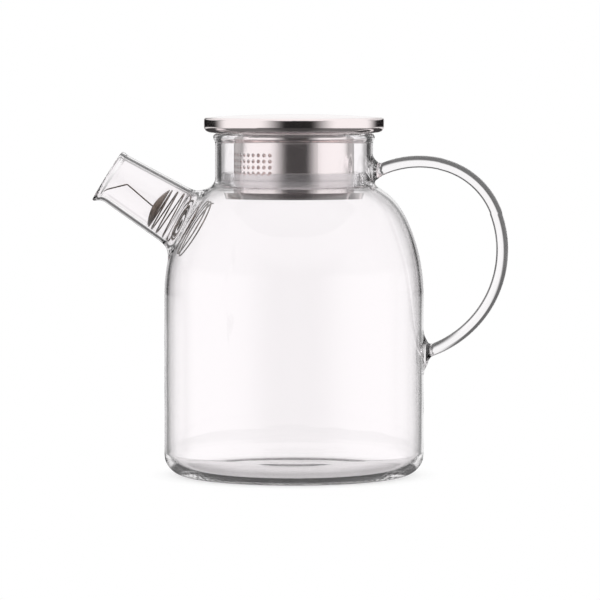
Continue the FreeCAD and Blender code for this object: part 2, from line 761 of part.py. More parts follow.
def bend(start, direction, new_direction, radius):
    """Arc that turns the wire from one direction to another, and the point where it ends."""
    turn = direction.getAngle(new_direction)
    inward = (new_direction - direction * new_direction.dot(direction)).normalize()
    centre = start + inward * radius

    def point(angle):
        return centre - inward * (radius * math.cos(angle)) + direction * (radius * math.sin(angle))

    return Part.Arc(start, point(turn / 2), point(turn)).toShape(), point(turn)


def make_strainer(sheet):
    wire = sheet.get("wire_radius")
    slope = (sheet.get("spout_root_radius") - sheet.get("spout_mouth_radius")) / (
        sheet.get("spout_length") + sheet.get("spout_root_depth")
    )

    def bore(station):
        outside = sheet.get("spout_root_radius") - (station + sheet.get("spout_root_depth")) * slope
        return outside - sheet.get("spout_wall")

    def fitted(station):
        """Radius of a turn that lies inside the bore."""
        return bore(station) - sheet.get("strainer_clearance") - wire

    def wound(width, rise):
        """Half turns of closely wound wire that fill a slope."""
        return math.floor(2 * math.hypot(width, rise) / (2 * wire + sheet.get("wire_gap")))

    ring_end = -sheet.get("ring_station")
    ring_radius = bore(ring_end) + sheet.get("ring_overlap")
    hole_turn = -sheet.get("hole_turn_station")
    bore_turn = -sheet.get("bore_turn_station")
    nose = sheet.get("nose_station")
    nose_radius = sheet.get("nose_radius")
    shoulder = nose + sheet.get("nose_bend_rise")
    shoulder_radius = sheet.get("nose_bend_radius")
    tip = shoulder + sheet.get("nose_tip_rise")
    tip_radius = sheet.get("nose_tip_radius")
    stages = [
        (ring_end - RING_TURNS * sheet.get("ring_pitch"), ring_radius, 2 * RING_TURNS),
        (ring_end, ring_radius, 2 * ENTRY_TURNS),
        (hole_turn, fitted(hole_turn), 2 * LEAD_TURNS),
        (bore_turn, fitted(bore_turn), 2 * OPEN_TURNS),
        (nose, nose_radius, wound(nose_radius - shoulder_radius, shoulder - nose)),
        (shoulder, shoulder_radius, wound(shoulder_radius - tip_radius, tip - shoulder)),
        (tip, tip_radius, 0),
    ]
    knots = half_turns(stages)
    edges, tip_point, tip_direction = coil_path(knots)

    # The tail rises from the tip along the axis, kinks and ends above the pouring lip.
    rise_bend, rise_start = bend(tip_point, tip_direction, Z_AXIS, sheet.get("tail_bend_radius"))
    kink = Vector(rise_start.x, rise_start.y, sheet.get("tail_kink_station"))
    tail_end = Vector(-sheet.get("tail_end_drop"), 0, sheet.get("tail_end_station"))
    tail_direction = (tail_end - kink).normalize()
    kink_radius = sheet.get("tail_kink_radius")
    rise_end = kink - Z_AXIS * (kink_radius * math.tan(Z_AXIS.getAngle(tail_direction) / 2))
    kink_bend, tail_start = bend(rise_end, Z_AXIS, tail_direction, kink_radius)
    edges += [
        rise_bend,
        Part.LineSegment(rise_start, rise_end).toShape(),
        kink_bend,
        Part.LineSegment(tail_start, tail_end).toShape(),
    ]
    path = Part.Wire(edges)
    first_radius, first_station = knots[0]
    section = Part.Circle(Vector(first_radius, 0, first_station), Y_AXIS, wire)
    strainer = doc.addObject("Part::Feature", "spout_strainer")
    strainer.Shape = path.makePipeShell([Part.Wire(section.toShape())], True, False)
    expected = path.Length * math.pi * wire**2
    assert abs(strainer.Shape.Volume / expected - 1) < TOUCH, "the strainer's wire is not whole"
    place_on_spout(strainer)
    return strainer


def check_and_write(nodes):
    doc.recompute()
    for thing in doc.Objects:
        failed = {"Invalid", "Error"} & set(thing.State)
        if failed:
            raise RuntimeError(f"{thing.Name} failed: {thing.State}")
    for node in nodes:
        shape = node.Shape
        if shape.isNull() or not shape.isValid() or len(shape.Solids) != 1:
            raise RuntimeError(f"{node.Label} has no single valid solid")
    os.makedirs("parts", exist_ok=True)
    for node in nodes:
        node.Shape.exportStep(f"parts/{node.Label}.step")
        box = node.Shape.BoundBox
        print(
            f"{node.Label}: {node.Shape.Volume:.1f} mm3, x {box.XMin:.1f} to {box.XMax:.1f},"
            f" y {box.YMin:.1f} to {box.YMax:.1f}, z {box.ZMin:.1f} to {box.ZMax:.1f}"
        )


def main():
    sheet = make_sheet()
    envelope = make_envelope()
    nodes = [
        cut(make_blown_wall(), make_hole_tool(), "glass_body"),
        cut(make_spout_tube(), envelope, "glass_spout"),
        make_handle(envelope),
        make_lid_cap(),
        make_lid_pan(),
        make_filter_sleeve(),
        make_silicone_seal(),
        make_strainer(sheet),
    ]
    check_and_write(nodes)


main()
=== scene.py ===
# %% [markdown]
# # A glass teapot, dressed for its portrait
#
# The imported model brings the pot, its spout and handle, the steel lid with its filter sleeve, the silicone
# seal and the wire strainer, all in metres, with the origin in the middle of the base, +Z up, the spout
# towards -X and the handle towards +X. This lesson gives each of them the surface that the eye expects.
# The glass comes first, because almost everything in the picture is seen through it.

# %% Load the frame
import itertools
import math

import bpy
import numpy as np
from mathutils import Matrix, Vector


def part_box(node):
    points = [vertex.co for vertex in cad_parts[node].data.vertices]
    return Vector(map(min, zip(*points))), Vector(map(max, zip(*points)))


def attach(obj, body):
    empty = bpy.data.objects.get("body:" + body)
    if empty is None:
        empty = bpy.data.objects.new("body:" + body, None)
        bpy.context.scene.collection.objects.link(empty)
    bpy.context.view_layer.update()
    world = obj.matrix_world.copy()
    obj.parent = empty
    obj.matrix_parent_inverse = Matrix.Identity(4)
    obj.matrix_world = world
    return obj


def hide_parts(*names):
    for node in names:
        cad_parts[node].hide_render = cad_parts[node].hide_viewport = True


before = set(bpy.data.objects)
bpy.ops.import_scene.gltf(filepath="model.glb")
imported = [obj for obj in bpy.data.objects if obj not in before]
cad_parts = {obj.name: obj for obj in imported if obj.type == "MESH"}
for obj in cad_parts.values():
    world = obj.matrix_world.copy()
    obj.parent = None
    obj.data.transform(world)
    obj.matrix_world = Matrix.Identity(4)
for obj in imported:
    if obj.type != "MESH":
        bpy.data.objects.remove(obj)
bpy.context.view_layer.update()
MM = 0.001
print("frame loaded with nodes:", ", ".join(sorted(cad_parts)))

# %% [markdown]
# ## Where the camera stands
#
# The picture is a product shot taken with a long lens: the lid's rim is seen almost edge on and the base from
# slightly above, which happens when the camera is about two metres away and a little higher than the lid.
# A long lens needs a narrow field of view, so the field is worked out from the width of the scene at the
# pot's axis.

# %% The camera
VIEW_WIDTH = 300 * MM
CAMERA_DISTANCE = 1980 * MM
CAMERA_HEIGHT = 206 * MM
LOOK_AT = (3 * MM, 0.0, 87.4 * MM)

scene = bpy.context.scene
scene.view_settings.view_transform = "Standard"
lens = bpy.data.cameras.new("portrait_lens")
camera = bpy.data.objects.new("portrait_camera", lens)
scene.collection.objects.link(camera)
camera.location = (LOOK_AT[0], -CAMERA_DISTANCE, CAMERA_HEIGHT)
pitch = math.atan2(CAMERA_HEIGHT - LOOK_AT[2], CAMERA_DISTANCE)
camera.rotation_euler = (math.pi / 2 - pitch, 0, 0)
lens.sensor_fit = "HORIZONTAL"
lens.angle = 2 * math.atan(VIEW_WIDTH / 2 / math.hypot(CAMERA_DISTANCE, CAMERA_HEIGHT - LOOK_AT[2]))
scene.camera = camera
print(f"camera {CAMERA_DISTANCE:.2f} m away, field of view {math.degrees(lens.angle):.2f} degrees")

# %% [markdown]
# ## One piece of glass
#
# Borosilicate tea ware is blown as a bulb with a neck; the spout and the handle are melted on while the glass
# is soft. Afterwards no seam is left: the weld is a smooth fillet and the light runs through it. Three
# meshes that touch would show their hidden faces through the glass, so the glass is drawn as one body by its
# distance field: a function that is negative inside the glass, positive outside and zero on the skin.
# Fields are easy to weld, because a smooth minimum of two of them is a fillet.

# %% Sizes of the glass, in millimetres
pot_low, pot_high = (np.array(corner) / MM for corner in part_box("glass_body"))
spout_low, spout_high = (np.array(corner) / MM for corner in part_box("glass_spout"))
handle_low, handle_high = (np.array(corner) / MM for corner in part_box("glass_handle"))

BODY_RADIUS = min((pot_high - pot_low)[:2]) / 2
RIM_HEIGHT = pot_high[2]
WALL = 2.0
BASE_CORNER = 10.8
BASE_THICKNESS = 3.0
FLOOR_RING_RADIUS = 18.5
FLOOR_RISE = 1.2
SHOULDER_START = 90.0
LOW_ARC_RADIUS = 90.0
LOW_ARC_RISE = 38.0
HIGH_ARC_RADIUS = 36.5
NECK_RADIUS = 39.5
NECK_WALL = 3.0
NECK_FILLET = 2.5
LIP_ROUND = 1.95
LIP_BLEND = 1.2
print(f"pot radius {BODY_RADIUS:.1f} mm, rim at {RIM_HEIGHT:.1f} mm")

# %% Joining fields


def smooth_union(one, other, width):
    """The nearer of two fields, with a fillet where they are within width of each other."""
    near = np.maximum(width - np.abs(one - other), 0) / width
    return np.minimum(one, other) - near**2 * width / 4


def round_union(one, other, radius):
    """Union with a round fillet where two surfaces meet at a steep angle."""
    deep = np.hypot(np.maximum(radius - one, 0), np.maximum(radius - other, 0))
    return np.maximum(radius, np.minimum(one, other)) - deep


def round_overlap(one, other, radius):
    """What two fields share, with its edges rounded as fire rounds the edge of glass."""
    return -round_union(-one, -other, radius)


print(f"two skins that cross join {-smooth_union(0.0, 0.0, 4.0):.1f} mm deep in a 4 mm fillet")

# %% [markdown]
# ### The blown bulb
#
# In section the bulb is a straight side with a rounded foot, then two arcs that lean in to the neck. Its
# inside has the same arcs drawn in by the wall. The floor swells a little in the middle, where the blowing
# iron pushed it, and that swelling is the ring one sees through the side.

# %% Field of the bulb
LOW_ARC_CENTRE = BODY_RADIUS - LOW_ARC_RADIUS
join_rise = LOW_ARC_RISE / LOW_ARC_RADIUS
join_reach = math.sqrt(1 - join_rise**2)
HIGH_ARC_CENTRE_RADIUS = LOW_ARC_CENTRE + (LOW_ARC_RADIUS - HIGH_ARC_RADIUS) * join_reach
HIGH_ARC_CENTRE_HEIGHT = SHOULDER_START + (LOW_ARC_RADIUS - HIGH_ARC_RADIUS) * join_rise


def bulb(radius, height, inset, floor):
    """Distance to the turned form of the bulb, drawn in by inset, on the given floor."""
    corner = BASE_CORNER - inset
    past_side = radius - (BODY_RADIUS - BASE_CORNER)
    past_floor = floor + corner - height
    outside = np.hypot(np.maximum(past_side, 0), np.maximum(past_floor, 0))
    straight = outside + np.minimum(np.maximum(past_side, past_floor), 0) - corner
    across = radius - LOW_ARC_CENTRE
    up = height - SHOULDER_START
    low_arc = np.hypot(across, up) - (LOW_ARC_RADIUS - inset)
    high_arc = np.hypot(radius - HIGH_ARC_CENTRE_RADIUS, height - HIGH_ARC_CENTRE_HEIGHT)
    high_arc = high_arc - (HIGH_ARC_RADIUS - inset)
    shoulder = np.where(up * join_reach > across * join_rise, high_arc, low_arc)
    return np.where(up < 0, straight, shoulder)


def bulb_skin(radius, height):
    """Outside of the bulb with its neck and the bead of its lip."""
    lip_height = RIM_HEIGHT - LIP_ROUND
    neck = np.maximum(radius - NECK_RADIUS, np.maximum(height - lip_height, SHOULDER_START - height))
    lip_radius = NECK_RADIUS - NECK_WALL + LIP_ROUND
    lip = np.hypot(radius - lip_radius, height - lip_height) - LIP_ROUND
    shape = round_union(bulb(radius, height, 0, 0), neck, NECK_FILLET)
    return smooth_union(shape, lip, LIP_BLEND)


def bulb_hollow(radius, height):
    """Inside of the bulb, open at the neck."""
    swelling = FLOOR_RISE * np.maximum(1 - (radius / FLOOR_RING_RADIUS) ** 2, 0)
    inside = bulb(radius, height, WALL, BASE_THICKNESS + swelling)
    neck = np.maximum(radius - (NECK_RADIUS - NECK_WALL), SHOULDER_START - height)
    return round_union(inside, neck, NECK_FILLET)


print(f"the shoulder's two arcs meet {SHOULDER_START + LOW_ARC_RISE:.0f} mm up")

# %% [markdown]
# ### The spout
#
# The spout is a drawn tube that narrows towards the mouth. Its lower lip is pulled down and out while hot, so
# that the tea leaves it cleanly. In the field, that is a cone whose radius and centre both bend over the last
# few millimetres.

# %% Field of the spout
SPOUT_HEIGHT = 133.5
SPOUT_TILT = math.radians(31.8)
SPOUT_LENGTH = 32.3
SPOUT_ROOT_DEPTH = 18.0
SPOUT_ROOT_RADIUS = 15.9
SPOUT_MOUTH_RADIUS = 12.7
SPOUT_SLOPE = (SPOUT_ROOT_RADIUS - SPOUT_MOUTH_RADIUS) / (SPOUT_LENGTH + SPOUT_ROOT_DEPTH)
LIP_LENGTH = 6.4
LIP_FLARE = 1.5
LIP_DROP = 1.35
LIP_PULL_LIMIT = 1.5
MOUTH_ROUND = 0.9
BEAD_ROUND = 1.25
BEAD_SINK = 0.75
BEAD_BLEND = 1.0
BORE_DEPTH = 25.0
SPOUT_WELD = 6.0
BORE_EDGE = 4.0


def along_spout(x, z):
    """Station along the axis of the spout, and height above that axis."""
    reach = x + BODY_RADIUS
    rise = z - SPOUT_HEIGHT
    station = -reach * math.cos(SPOUT_TILT) + rise * math.sin(SPOUT_TILT)
    above = reach * math.sin(SPOUT_TILT) + rise * math.cos(SPOUT_TILT)
    return station, above


def spout_tube(station, above, side, inset):
    """Distance to the tapered tube, drawn in by inset."""
    pull = np.clip((station - SPOUT_LENGTH + LIP_LENGTH) / LIP_LENGTH, 0, LIP_PULL_LIMIT) ** 2
    radius = SPOUT_ROOT_RADIUS - (station + SPOUT_ROOT_DEPTH) * SPOUT_SLOPE + LIP_FLARE * pull - inset
    return np.hypot(above + LIP_DROP * pull, side) - radius


def spout_skin(x, y, z):
    station, above = along_spout(x, z)
    outside = spout_tube(station, above, y, 0)
    tube = np.maximum(outside, -station - SPOUT_ROOT_DEPTH)
    bead = np.hypot(outside + BEAD_ROUND * BEAD_SINK, station - SPOUT_LENGTH + BEAD_ROUND) - BEAD_ROUND
    return smooth_union(round_overlap(tube, station - SPOUT_LENGTH, MOUTH_ROUND), bead, BEAD_BLEND)


def spout_bore(x, y, z):
    station, above = along_spout(x, z)
    return np.maximum(spout_tube(station, above, y, WALL), -station - BORE_DEPTH)


print(f"the spout narrows by {2 * SPOUT_SLOPE:.3f} mm in each millimetre")

# %% [markdown]
# ### The handle
#
# The handle is one solid rod, bent hot round a former: three arcs that run into each other. Its upper end is
# welded to the neck, and its lower end is pressed flat against the side, which leaves a small foot.

# %% Field of the handle
ROD_RADIUS = 3.0
# Centre across and up, bend radius, and the angles where the arc ends, from the lower end to the upper.
HANDLE_ARCS = [
    (50.75, 112.4, 53.3, -78.0, 20.2),
    (64.8, 117.6, 38.6, 20.2, 77.1),
    (62.6, 109.6, 47.0, 77.1, 119.0),
]
FOOT_CENTRE = (65.2, 60.9)
FOOT_REACH = (2.6, 6.2, 7.2)
TOP_WELD_CENTRE = (39.8, 152.6)
TOP_WELD_REACH = (3.0, 4.4, 5.0)
HANDLE_WELD = 2.0


def rod_arc(x, y, z, centre_x, centre_z, bend, start, end):
    angle = np.arctan2(z - centre_z, x - centre_x)
    angle = np.clip(angle, math.radians(start), math.radians(end))
    off_x = x - centre_x - bend * np.cos(angle)
    off_z = z - centre_z - bend * np.sin(angle)
    return np.sqrt(off_x**2 + y**2 + off_z**2) - ROD_RADIUS


def pressed_drop(x, y, z, centre, reach):
    """A flattened drop of glass, about as far away as its field says near its skin."""
    stretched = np.sqrt(
        ((x - centre[0]) / reach[0]) ** 2 + (y / reach[1]) ** 2 + ((z - centre[1]) / reach[2]) ** 2
    )
    return (stretched - 1) * min(reach)


def handle_skin(x, y, z):
    rod = np.minimum.reduce([rod_arc(x, y, z, *arc) for arc in HANDLE_ARCS])
    rod = smooth_union(rod, pressed_drop(x, y, z, FOOT_CENTRE, FOOT_REACH), HANDLE_WELD)
    return smooth_union(rod, pressed_drop(x, y, z, TOP_WELD_CENTRE, TOP_WELD_REACH), HANDLE_WELD)


rod_length = sum(bend * math.radians(end - start) for _, _, bend, start, end in HANDLE_ARCS)
print(f"the handle takes {rod_length:.0f} mm of rod")

# %% [markdown]
# ### Welding
#
# The skins of bulb, spout and handle are joined first and the hollows after them, and then the hollow is
# taken out of the skin. So the spout opens into the pot, and the handle stays solid up to the wall.

# %% Field of all the glass
GLASS_EDGE = 0.6
FAR_AWAY = 50.0


def where_near(mask, field, x, y, z):
    """The field's value where the mask holds, and a far distance elsewhere."""
    value = np.full(x.shape, FAR_AWAY)
    value[mask] = field(x[mask], y[mask], z[mask])
    return value


def glass(x, y, z):
    radius = np.hypot(x, y)
    spout_side = x < -BODY_RADIUS / 2
    skin = bulb_skin(radius, z)
    skin = smooth_union(skin, where_near(spout_side, spout_skin, x, y, z), SPOUT_WELD)
    skin = smooth_union(skin, where_near(x > BODY_RADIUS / 2, handle_skin, x, y, z), HANDLE_WELD)
    hollow = bulb_hollow(radius, z)
    hollow = smooth_union(hollow, where_near(spout_side, spout_bore, x, y, z), BORE_EDGE)
    return round_overlap(skin, -hollow, GLASS_EDGE)


mid_wall = glass(np.array([BODY_RADIUS - WALL / 2]), np.zeros(1), np.array([SHOULDER_START / 2]))[0]
print(f"the middle of the wall lies {-mid_wall:.2f} mm inside the glass")

# %% [markdown]
# ### From the field to a mesh
#
# A surface net turns a field into quads: the space is cut into small cubes, each cube that the skin crosses
# gets one point, and each crossed edge joins the four cubes around it. Afterwards every point slides along
# the slope of the field until it lies on the skin, and the slope itself is its normal, so reflections run
# smoothly over the mesh. The cubes are half as wide as the wall, so that both its skins are found.

# %% Surface net
NET_STEP = 1.0
NET_MARGIN = 1.6
SLIDES = 4
SLOPE_STEP = 0.02
CORNERS = np.array(list(itertools.product((0, 1), repeat=3)))
UNITS = np.eye(3, dtype=int)


def surface_net(field, low, high, step):
    """Points and quads of the zero level of a field inside a box."""
    axes = [np.arange(lo, hi + step, step) for lo, hi in zip(low, high)]
    values = field(*np.meshgrid(*axes, indexing="ij"))
    inside = values < 0
    size = np.array(values.shape) - 1
    filled = sum(
        inside[i : i + size[0], j : j + size[1], k : k + size[2]].astype(np.int8) for i, j, k in CORNERS
    )
    crossed = (filled > 0) & (filled < len(CORNERS))
    number = np.full(crossed.shape, -1)
    number[crossed] = np.arange(np.count_nonzero(crossed))
    cells = np.argwhere(crossed)
    total = np.zeros((len(cells), 3))
    hits = np.zeros(len(cells))
    quads = []
    for axis, unit in enumerate(UNITS):
        one, other = UNITS[(axis + 1) % 3], UNITS[(axis + 2) % 3]
        for corner in (0 * unit, one, other, one + other):
            near = values[tuple((cells + corner).T)]
            far = values[tuple((cells + corner + unit).T)]
            cuts = (near < 0) != (far < 0)
            share = near[cuts] / (near[cuts] - far[cuts])
            total[cuts] += cells[cuts] + corner + share[:, None] * unit
            hits[cuts] += 1
        ends = [slice(None)] * 3
        starts = [slice(None)] * 3
        ends[axis] = slice(1, None)
        starts[axis] = slice(None, -1)
        leaving = inside[tuple(starts)] != inside[tuple(ends)]
        edges = np.argwhere(leaving)
        ring = [edges - one - other, edges - other, edges, edges - one]
        loop = np.stack([number[tuple(cell.T)] for cell in ring], axis=1)
        outward = inside[tuple(edges.T)]
        loop[~outward] = loop[~outward][:, ::-1]
        quads.append(loop)
    return np.array(low) + step * total / hits[:, None], np.concatenate(quads)


def slope(field, points):
    """Gradient of the field at each point."""
    columns = []
    for unit in UNITS * SLOPE_STEP:
        ahead = field(*(points + unit).T)
        behind = field(*(points - unit).T)
        columns.append((ahead - behind) / (2 * SLOPE_STEP))
    return np.stack(columns, axis=1)


def slide_to_skin(field, points):
    for _ in range(SLIDES):
        climb = slope(field, points)
        points = points - (field(*points.T) / np.sum(climb**2, axis=1))[:, None] * climb
    return points


low = np.minimum.reduce([pot_low, spout_low, handle_low]) - NET_MARGIN
high = np.maximum.reduce([pot_high, spout_high, handle_high]) + NET_MARGIN
points, quads = surface_net(glass, low, high, NET_STEP)
points = slide_to_skin(glass, points)
print(f"glass net: {len(points)} points, {len(quads)} quads")

# %% Glass object


def mesh_object(name, points, faces, normals):
    """A smooth mesh from points in millimetres, with its own normals."""
    mesh = bpy.data.meshes.new(name)
    mesh.from_pydata((points * MM).tolist(), [], faces)
    mesh.shade_smooth()
    mesh.normals_split_custom_set_from_vertices(normals.tolist())
    piece = bpy.data.objects.new(name, mesh)
    scene.collection.objects.link(piece)
    return piece


normals = slope(glass, points)
normals /= np.linalg.norm(normals, axis=1)[:, None]
pot = mesh_object("blown_glass", points, quads.tolist(), normals)
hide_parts("glass_body", "glass_spout", "glass_handle")
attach(pot, "pot")
print(f"glass mesh: {len(pot.data.polygons)} faces")

# %% [markdown]
# ## Materials
#
# Colours are written as sRGB hex values, the way a colour picker shows them, and turned to linear light by
# one function. One helper adds a node, sets its values and links its inputs.

# %% Helpers for materials


def colour(hex_code):
    """Linear RGBA of an sRGB hex colour."""
    parts = [int(hex_code[i : i + 2], 16) / 255 for i in (1, 3, 5)]
    return (*(p / 12.92 if p <= 0.04045 else ((p + 0.055) / 1.055) ** 2.4 for p in parts), 1.0)


def add(tree, kind, settings=None, **inputs):
    """Adds a node with its own settings; inputs are values, outputs, or nodes for their first output."""
    node = tree.nodes.new(kind)
    for key, value in (settings or {}).items():
        setattr(node, key, value)
    for key, value in inputs.items():
        socket = node.inputs[int(key[1:])] if key[0] == "_" else node.inputs[key.replace("_", " ")]
        if isinstance(value, bpy.types.Node):
            value = value.outputs[0]
        if isinstance(value, bpy.types.NodeSocket):
            tree.links.new(value, socket)
        else:
            socket.default_value = value
    return node


def material(name):
    """A fresh material and its Principled shader."""
    made = bpy.data.materials.new(name)
    made.use_nodes = True
    return made, made.node_tree, made.node_tree.nodes["Principled BSDF"]


def dress(piece, made):
    piece.data.materials.clear()
    piece.data.materials.append(made)


print("half-way grey #808080 is", round(colour("#808080")[0], 3), "of white")

# %% [markdown]
# ### Borosilicate glass
#
# Tea ware is blown from borosilicate, an almost colourless glass that bends light a little less than window
# glass. The mouth-blown wall isn't perfectly even: slow swells, a couple of centimetres apart, make the
# reflections wander. A faint bump gives that.

# %% Borosilicate glass
GLASS_IOR = 1.474
SWELL_MM = 22.0
SWELL_STRENGTH = 0.06
SWELL_HEIGHT_MM = 1.0


def borosilicate_glass():
    made, tree, shader = material("borosilicate_glass")
    shader.inputs["Base Color"].default_value = colour("#FFFDFE")
    shader.inputs["Roughness"].default_value = 0.0
    shader.inputs["IOR"].default_value = GLASS_IOR
    shader.inputs["Transmission Weight"].default_value = 1.0
    place = add(tree, "ShaderNodeTexCoord")
    per_metre = 1 / (SWELL_MM * MM)
    swell = add(tree, "ShaderNodeTexNoise", Vector=place.outputs["Object"], Scale=per_metre, Detail=1.0)
    bump = add(
        tree,
        "ShaderNodeBump",
        Height=swell.outputs["Fac"],
        Strength=SWELL_STRENGTH,
        Distance=SWELL_HEIGHT_MM * MM,
    )
    tree.links.new(bump.outputs["Normal"], shader.inputs["Normal"])
    return made


dress(pot, borosilicate_glass())
print("glass dressed")

# %% [markdown]
# ### Stainless steel
#
# The lid is pressed from stainless sheet and polished on a wheel while it turns, so its faint scratches are
# circles round the axis. The sleeve has a satin finish, rougher and with deeper scratches, which blur what it
# mirrors. Real scratches are finer than a pixel, so they are drawn 0.6 to 0.8 mm apart, just coarse enough to
# show. The strainer's wire is drawn through a die. Its tone is painted shade: darker than steel, standing in
# for the shade inside the bore.

# %% Stainless steel
ROUGHNESS_SPREAD = 0.3
SCRATCH_HEIGHT_MM = 0.1


def turned_steel(name, tone, roughness, scratch_mm, depth):
    """Steel with scratches that run round the pot's axis."""
    made, tree, shader = material(name)
    shader.inputs["Base Color"].default_value = colour(tone)
    shader.inputs["Metallic"].default_value = 1.0
    place = add(tree, "ShaderNodeTexCoord")
    parts = add(tree, "ShaderNodeSeparateXYZ", Vector=place.outputs["Object"])
    flat = add(tree, "ShaderNodeCombineXYZ", X=parts.outputs["X"], Y=parts.outputs["Y"])
    radius = add(tree, "ShaderNodeVectorMath", {"operation": "LENGTH"}, Vector=flat.outputs["Vector"])
    groove = add(tree, "ShaderNodeCombineXYZ", X=radius.outputs["Value"], Y=parts.outputs["Z"])
    per_metre = 1 / (scratch_mm * MM)
    noise = add(tree, "ShaderNodeTexNoise", Vector=groove.outputs["Vector"], Scale=per_metre, Detail=3.0)
    rough = add(
        tree,
        "ShaderNodeMapRange",
        Value=noise.outputs["Fac"],
        To_Min=roughness * (1 - ROUGHNESS_SPREAD),
        To_Max=roughness * (1 + ROUGHNESS_SPREAD),
    )
    bump = add(
        tree,
        "ShaderNodeBump",
        Height=noise.outputs["Fac"],
        Strength=depth,
        Distance=SCRATCH_HEIGHT_MM * MM,
    )
    tree.links.new(rough.outputs["Result"], shader.inputs["Roughness"])
    tree.links.new(bump.outputs["Normal"], shader.inputs["Normal"])
    return made


polished = turned_steel("polished_stainless_steel", "#F8EEEE", 0.12, 0.8, 0.03)
satin = turned_steel("satin_stainless_steel", "#FEF8F7", 0.15, 0.6, 0.06)
for node, finish in (("lid_cap", polished), ("lid_pan", polished), ("filter_sleeve", satin)):
    dress(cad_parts[node], finish)
print("steel dressed")

# %% [markdown]
# ## The wire strainer
#
# One drawn stainless wire is wound on a former: two wide turns that stand inside the pot, a few open turns up
# the bore, a tight dome of turns that stops the leaves, and a straight tail to pull it by. The winding is a
# loop over the turn: radius, station and lean are read off a short list of stages, and the dome is worked out
# from the pitch of the wire. A tube of rings then follows that line.

# %% Line of the wire
WIRE_RADIUS = 0.36
WIRE_PITCH = 0.9
POINTS_PER_TURN = 48
# Turn, station along the spout, radius, how far the turn leans out of square, and how low it lies.
COIL_STAGES = [
    (0.0, -19.6, 15.7, 0.17, 0.7),
    (1.0, -18.2, 15.6, 0.16, 0.6),
    (2.0, -17.0, 15.1, 0.14, 0.3),
    (3.0, -14.2, 13.0, 0.06, 0.2),
    (4.0, -9.6, 12.5, 0.02, 0.4),
    (5.0, -5.0, 12.0, 0.0, 0.7),
    (6.0, -1.8, 11.4, 0.0, 1.0),
    (7.0, 1.0, 10.8, 0.0, 1.3),
    (8.0, 2.2, 10.2, 0.0, 1.4),
]
DOME_HEIGHT = 2.7
DOME_TIP_RADIUS = 0.8
TAIL_KINK = (0.3, 22.0)
TAIL_END = (-8.8, 30.6)
TAIL_RISE = 0.9
KINK_BEND = (0.3, 0.8)


def coil_line():
    """Points of the wire in the frame of the spout: above its axis, to its side, along it."""
    turn, station, radius, lean, low = (np.array(column) for column in zip(*COIL_STAGES))
    dome_turns = (radius[-1] - DOME_TIP_RADIUS) / WIRE_PITCH
    wound = np.arange(0, turn[-1] + dome_turns, 1 / POINTS_PER_TURN)
    share = np.clip((wound - turn[-1]) / dome_turns, 0, 1)
    dome_radius = radius[-1] + (DOME_TIP_RADIUS - radius[-1]) * share
    reach = np.interp(wound, turn, radius) + dome_radius - radius[-1]
    along = np.interp(wound, turn, station) + DOME_HEIGHT * (1 - (dome_radius / radius[-1]) ** 2)
    angle = 2 * math.pi * wound
    side = reach * np.sin(angle)
    above = reach * np.cos(angle) - np.interp(wound, turn, low)
    line = np.stack([above, side, along + np.interp(wound, turn, lean) * side], axis=1)
    top = line[-1]
    tail = [
        (top[0], 0.0, top[2] + TAIL_RISE),
        (TAIL_KINK[0], 0.0, TAIL_KINK[1] - KINK_BEND[1]),
        (TAIL_KINK[0] - KINK_BEND[0], 0.0, TAIL_KINK[1]),
        (TAIL_END[0], 0.0, TAIL_END[1]),
    ]
    return np.concatenate([line, np.array(tail)])


def from_spout(line):
    """Points of the spout's frame in the frame of the pot."""
    above, side, station = line.T
    x = -BODY_RADIUS - station * math.cos(SPOUT_TILT) + above * math.sin(SPOUT_TILT)
    z = SPOUT_HEIGHT + station * math.sin(SPOUT_TILT) + above * math.cos(SPOUT_TILT)
    return np.stack([x, side, z], axis=1)


wire = from_spout(coil_line())
print(f"wire {np.linalg.norm(np.diff(wire, axis=0), axis=1).sum() * MM:.2f} m long")

# %% Tube along the wire
WIRE_SIDES = 8


def tube(name, line, thickness):
    """A closed tube of rings along a line, each ring turned as little as its neighbour allows."""
    ahead = np.gradient(line, axis=0)
    ahead /= np.linalg.norm(ahead, axis=1)[:, None]
    across = np.cross(ahead[0], (0.0, 0.0, 1.0))
    points, outward = [], []
    turns = 2 * math.pi * np.arange(WIRE_SIDES) / WIRE_SIDES
    for place, way in zip(line, ahead):
        across = across - way * np.dot(across, way)
        across /= np.linalg.norm(across)
        ring = np.outer(np.cos(turns), across) + np.outer(np.sin(turns), np.cross(way, across))
        points.append(place + thickness * ring)
        outward.append(ring)
    count = len(line)
    first = np.arange(count - 1)[:, None] * WIRE_SIDES + np.arange(WIRE_SIDES)
    after = np.arange(count - 1)[:, None] * WIRE_SIDES + (np.arange(WIRE_SIDES) + 1) % WIRE_SIDES
    sides = np.stack([first, after, after + WIRE_SIDES, first + WIRE_SIDES], axis=2).reshape(-1, 4).tolist()
    caps = [list(range(WIRE_SIDES))[::-1], [(count - 1) * WIRE_SIDES + i for i in range(WIRE_SIDES)]]
    return mesh_object(name, np.concatenate(points), sides + caps, np.concatenate(outward))


strainer = tube("wound_wire", wire, WIRE_RADIUS)
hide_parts("spout_strainer")
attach(strainer, "strainer")
# The wire's tone #7A6D64 is painted shade: darker than steel, for the shade the wire lies in inside the
# spout's bore.
dress(strainer, turned_steel("drawn_stainless_wire_painted_shade", "#7A6D64", 0.3, 1.5, 0.05))
print(f"strainer: {len(strainer.data.polygons)} faces")

# %% [markdown]
# ### Silicone
#
# The seal is moulded from milky silicone. Light goes in, scatters and comes out again, so it is neither
# clear nor white: mostly a rough transmission, with a little matt white mixed in.

# %% Silicone
SILICONE_IOR = 1.41
CLOUD_MM = 6.0


